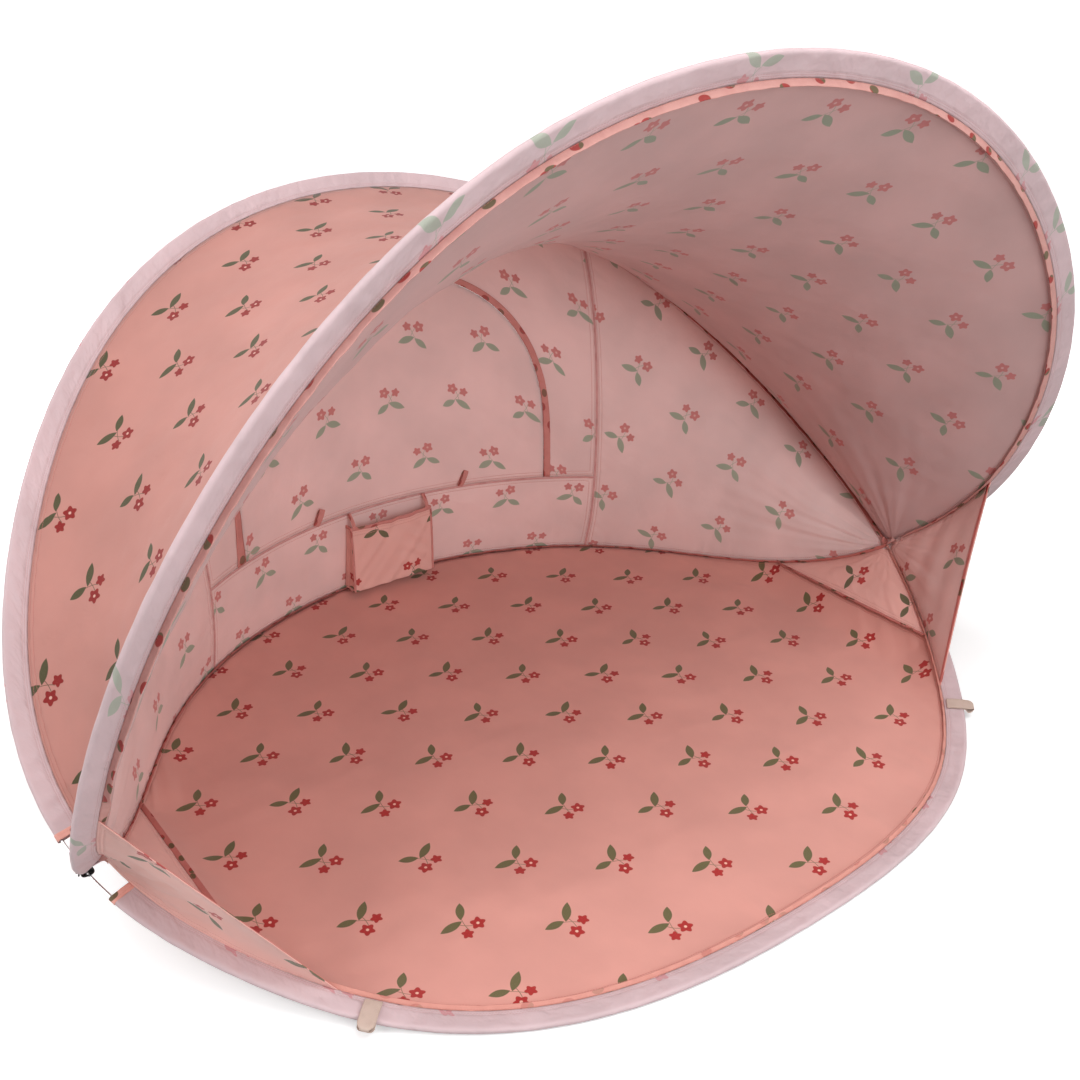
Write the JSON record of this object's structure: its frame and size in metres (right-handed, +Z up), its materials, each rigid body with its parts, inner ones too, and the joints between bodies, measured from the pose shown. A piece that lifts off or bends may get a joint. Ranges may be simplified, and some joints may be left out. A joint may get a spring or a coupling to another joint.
{
  "type": "pop-up beach tent",
  "caption": "Pop-up beach tent with an open mouth, sprung wire hoops in cloth sleeves, zipped rear window flap, floor, side wings and an inner pocket.",
  "frame": {"origin": "on the ground, on the floor panel's underside, below the middle of the line through the two crossings of the hoops", "axes": "+X to the tent's right seen from the mouth, +Y from the mouth to the rear wall, +Z up"},
  "size_m": [1.4694, 1.1222, 0.9609],
  "materials": {
    "printed_cloth": "thin woven polyester with a small printed sprig",
    "pale_sleeve_cloth": "plain thin woven polyester",
    "peach_binding_tape": "woven tape",
    "dark_placket_cloth": "thin woven polyester, the shaded side",
    "greige_webbing": "flat webbing",
    "black_tape": "woven tape",
    "zip_plastic": "coil zip on tape",
    "spring_steel": "drawn spring steel"
  },
  "bodies": {
    "rear_frame": {"rear_arch_wire": "spring_steel", "rear_ground_wire": "spring_steel", "rear_hoop_ferrule": "spring_steel", "rear_arch_sleeve": "pale_sleeve_cloth", "rear_ground_sleeve": "pale_sleeve_cloth", "canopy": "printed_cloth", "rear_wall_right": "printed_cloth", "rear_wall_left": "printed_cloth", "rear_wall_upper": "printed_cloth", "rear_wall_skirt": "printed_cloth", "floor": "printed_cloth", "gusset_right": "printed_cloth", "gusset_left": "printed_cloth", "rear_arch_seam_binding": "peach_binding_tape", "rear_ground_seam_binding": "peach_binding_tape", "window_placket": "dark_placket_cloth", "window_zip_wall_tape": "zip_plastic", "storage_pocket": "printed_cloth", "pocket_rim_binding": "peach_binding_tape", "corner_tie_right": "black_tape", "corner_tie_left": "black_tape"},
    "front_frame": {"hood_wire": "spring_steel", "front_ground_wire": "spring_steel", "front_hoop_ferrule": "spring_steel", "hood_sleeve": "pale_sleeve_cloth", "front_ground_sleeve": "pale_sleeve_cloth", "wing_right": "printed_cloth", "wing_left": "printed_cloth", "wing_binding_right": "peach_binding_tape", "wing_binding_left": "peach_binding_tape", "hood_seam_binding": "peach_binding_tape", "front_ground_seam_binding": "peach_binding_tape"},
    "window_flap": {"window_flap": "printed_cloth", "window_zip_flap_tape": "zip_plastic", "flap_tie_loop_right": "greige_webbing", "flap_tie_loop_left": "greige_webbing"},
    "zip_slider": {"zip_slider": "spring_steel"},
    "zip_pull": {"zip_pull": "spring_steel"},
    "peg_tab_front_right": {"peg_tab_front_right": "greige_webbing"},
    "peg_tab_front_left": {"peg_tab_front_left": "greige_webbing"},
    "peg_tab_rear_right": {"peg_tab_rear_right": "greige_webbing"},
    "peg_tab_rear_left": {"peg_tab_rear_left": "greige_webbing"}
  },
  "joints": [
    {"name": "hood_fold", "type": "hinge", "parent": "rear_frame", "child": "front_frame", "pos_m": [0, 0, 0.106], "axis": [-1, 0, 0], "range_deg": [0, 42], "stiffness_Nm_per_rad": 4, "springref_deg": -8.59, "deforming": ["canopy", "gusset_right", "gusset_left", "floor"]},
    {"name": "window_flap_fold", "type": "hinge", "parent": "rear_frame", "child": "window_flap", "pos_m": [0, 0.4835, 0.16], "axis": [1, 0, 0], "range_deg": [0, 120]},
    {"name": "zip_travel", "type": "slide", "parent": "rear_frame", "child": "zip_slider", "axis": [0, 0.0129, 0.9999], "range_m": [0, 0.05]},
    {"name": "zip_pull_swing", "type": "hinge", "parent": "zip_slider", "child": "zip_pull", "pos_m": [0.29295, 0.48998, 0.18397], "axis": [0.8874, -0.4609, 0.0059], "range_deg": [0, 170]},
    {"name": "peg_tab_front_right_lift", "type": "hinge", "parent": "front_frame", "child": "peg_tab_front_right", "pos_m": [0.49012, -0.28198, 0.01573], "axis": [-0.7102, -0.6936, -0.1206], "range_deg": [0, 75]},
    {"name": "peg_tab_front_left_lift", "type": "hinge", "parent": "front_frame", "child": "peg_tab_front_left", "pos_m": [-0.49012, -0.28198, 0.01573], "axis": [-0.7102, 0.6936, 0.1206], "range_deg": [0, 75]},
    {"name": "peg_tab_rear_right_lift", "type": "hinge", "parent": "rear_frame", "child": "peg_tab_rear_right", "pos_m": [0.45004, 0.3914, 0.00664], "axis": [0.6753, -0.7374, 0.0161], "range_deg": [0, 60]},
    {"name": "peg_tab_rear_left_lift", "type": "hinge", "parent": "rear_frame", "child": "peg_tab_rear_left", "pos_m": [-0.45004, 0.3914, 0.00664], "axis": [0.6753, 0.7374, -0.0161], "range_deg": [0, 60]}
  ]
}
